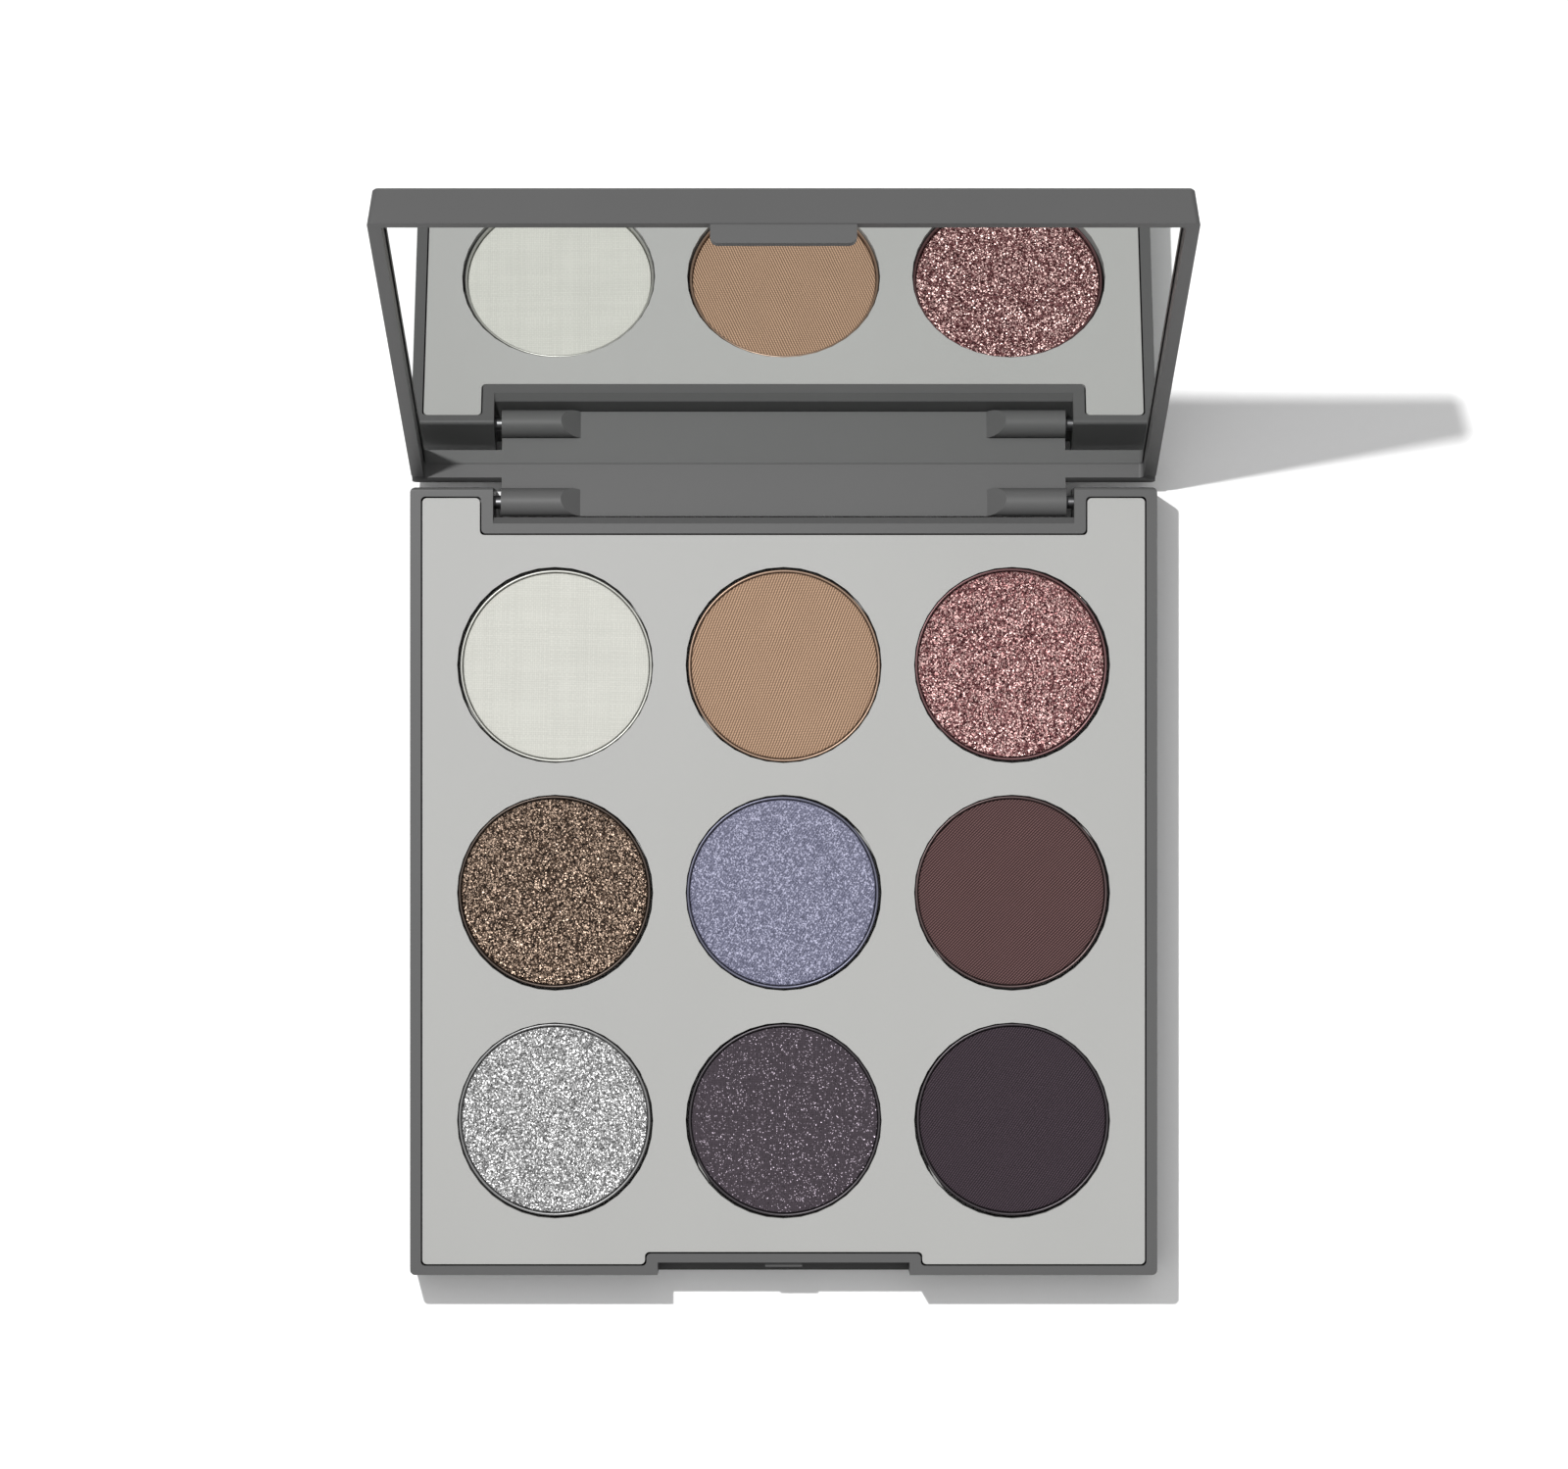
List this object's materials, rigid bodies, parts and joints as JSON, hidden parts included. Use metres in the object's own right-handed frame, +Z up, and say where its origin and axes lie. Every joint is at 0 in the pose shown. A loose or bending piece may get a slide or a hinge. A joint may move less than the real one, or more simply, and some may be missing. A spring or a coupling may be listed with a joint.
{
  "type": "eyeshadow palette",
  "caption": "Square make-up palette: shallow case with round powder pans in a tray, hinged mirror lid and front snap latch.",
  "frame": {"origin": "centre of the base's underside, on the face it rests on", "axes": "+X to the user's right, +Y from the latch to the hinge, +Z up; the lid stands open about 105 degrees from shut"},
  "size_m": [0.101, 0.1393, 0.1084],
  "materials": {
    "case_plastic": "satin moulded mid grey plastic",
    "tray_plastic": "satin moulded pale warm grey plastic",
    "pan_metal": "bright thin pressed metal",
    "pin_steel": "ground steel wire",
    "mirror_silver": "silvered mirror",
    "adhesive": "cured adhesive",
    "label_paper": "blank paper label",
    "powder_ivory": "matte pressed powder with a fine linen imprint",
    "powder_tan": "matte pressed powder with a fine linen imprint",
    "powder_rose": "coarse pink and copper glitter in a rose powder",
    "powder_bronze": "coarse gold and green glitter in a brown powder",
    "powder_lilac": "fine shimmer in a lilac powder",
    "powder_plum_brown": "matte pressed powder with a fine linen imprint",
    "powder_silver": "coarse silver glitter",
    "powder_dark_purple": "fine mixed glitter in a dark purple powder",
    "powder_dark_plum": "matte pressed powder with a fine linen imprint"
  },
  "bodies": {
    "base": {"base_label": "label_paper", "base_shell": "case_plastic", "hinge_pin_left": "pin_steel", "hinge_pin_right": "pin_steel", "pan_adhesive_1": "adhesive", "pan_adhesive_2": "adhesive", "pan_adhesive_3": "adhesive", "pan_adhesive_4": "adhesive", "pan_adhesive_5": "adhesive", "pan_adhesive_6": "adhesive", "pan_adhesive_7": "adhesive", "pan_adhesive_8": "adhesive", "pan_adhesive_9": "adhesive", "pan_tray": "tray_plastic", "powder_pan_1": "pan_metal", "powder_pan_2": "pan_metal", "powder_pan_3": "pan_metal", "powder_pan_4": "pan_metal", "powder_pan_5": "pan_metal", "powder_pan_6": "pan_metal", "powder_pan_7": "pan_metal", "powder_pan_8": "pan_metal", "powder_pan_9": "pan_metal", "pressed_powder_1": "powder_ivory", "pressed_powder_2": "powder_tan", "pressed_powder_3": "powder_rose", "pressed_powder_4": "powder_bronze", "pressed_powder_5": "powder_lilac", "pressed_powder_6": "powder_plum_brown", "pressed_powder_7": "powder_silver", "pressed_powder_8": "powder_dark_purple", "pressed_powder_9": "powder_dark_plum"},
    "lid": {"lid_shell": "case_plastic", "mirror": "mirror_silver", "mirror_adhesive": "adhesive"}
  },
  "joints": [
    {"name": "lid_hinge", "type": "hinge", "parent": "base", "child": "lid", "pos_m": [0, 0.05135, 0.0078], "axis": [-1, 0, 0], "range_deg": [-105, 15]}
  ]
}
